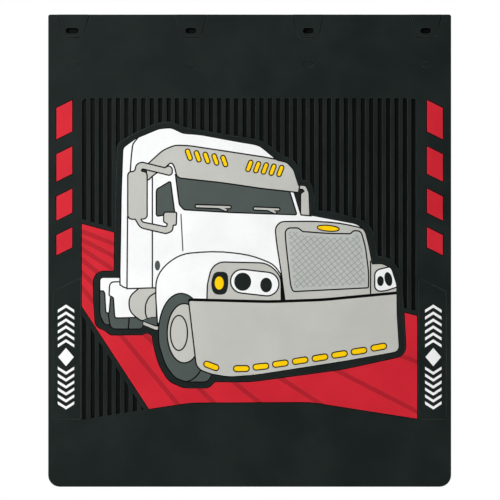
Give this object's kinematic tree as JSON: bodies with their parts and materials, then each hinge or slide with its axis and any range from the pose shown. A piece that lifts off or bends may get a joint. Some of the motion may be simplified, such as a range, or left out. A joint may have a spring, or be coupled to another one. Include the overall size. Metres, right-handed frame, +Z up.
{
  "type": "mud flap",
  "caption": "Flexible black rubber mud flap with moulded ribs, a slotted top strip, and coloured rubber inlays showing a bonneted truck, a road, side bars and chevron columns.",
  "frame": {"origin": "on the back face, half-way across the flap, at the height of the row of slots", "axes": "+Z up the flap, +Y out of the back face towards the hanger and the wheel, +X to the right when looking at the decorated front"},
  "size_m": [0.61, 0.0093, 0.715],
  "materials": {
    "black_rubber": "satin moulded",
    "red_rubber": "satin moulded",
    "white_rubber": "satin moulded",
    "light_grey_rubber": "satin moulded",
    "mesh_grey_rubber": "satin moulded, lattice relief",
    "dark_grey_rubber": "satin moulded",
    "amber_rubber": "satin moulded"
  },
  "bodies": {
    "header": {"header_strip": "black_rubber"},
    "panel": {"flap_panel": "black_rubber", "bumper": "light_grey_rubber", "bumper_lamps": "amber_rubber", "cab_and_hood": "white_rubber", "cab_step": "light_grey_rubber", "chevrons_left_lower": "white_rubber", "chevrons_left_upper": "white_rubber", "chevrons_right_lower": "white_rubber", "chevrons_right_upper": "white_rubber", "diamond_left": "white_rubber", "diamond_right": "white_rubber", "door_handle": "dark_grey_rubber", "door_window": "dark_grey_rubber", "front_fender": "white_rubber", "fuel_tank_front": "light_grey_rubber", "fuel_tank_rear": "light_grey_rubber", "grille_badge": "amber_rubber", "grille_frame": "light_grey_rubber", "grille_mesh": "mesh_grey_rubber", "headlight_bezel_left": "white_rubber", "headlight_bezel_right": "white_rubber", "headlight_housing_left": "light_grey_rubber", "headlight_housing_right": "light_grey_rubber", "mirror_left": "light_grey_rubber", "mirror_right": "light_grey_rubber", "rear_fender_inner": "white_rubber", "rear_fender_outer": "white_rubber", "rear_tread": "dark_grey_rubber", "rear_tyre_inner": "dark_grey_rubber", "rear_tyre_outer": "dark_grey_rubber", "road": "red_rubber", "roof_fairing": "white_rubber", "side_bar_left_1": "red_rubber", "side_bar_left_2": "red_rubber", "side_bar_left_3": "red_rubber", "side_bar_left_4": "red_rubber", "side_bar_right_1": "red_rubber", "side_bar_right_2": "red_rubber", "side_bar_right_3": "red_rubber", "side_bar_right_4": "red_rubber", "sleeper_edge": "white_rubber", "sleeper_side": "white_rubber", "sleeper_strip": "white_rubber", "step_shadow": "dark_grey_rubber", "sun_visor": "light_grey_rubber", "turn_signal": "amber_rubber", "tyre_face": "dark_grey_rubber", "tyre_tread": "dark_grey_rubber", "visor_end": "light_grey_rubber", "visor_lamps_left": "amber_rubber", "visor_lamps_right": "amber_rubber", "wheel_hub": "light_grey_rubber", "wheel_rim": "light_grey_rubber", "windshield": "dark_grey_rubber", "wiper_left": "light_grey_rubber", "wiper_right": "light_grey_rubber"}
  },
  "joints": [
    {"name": "flap_flex", "type": "hinge", "parent": "header", "child": "panel", "pos_m": [0, -0.004, -0.0765], "axis": [-1, 0, 0], "range_deg": [-30, 60], "stiffness_Nm_per_rad": 1}
  ]
}
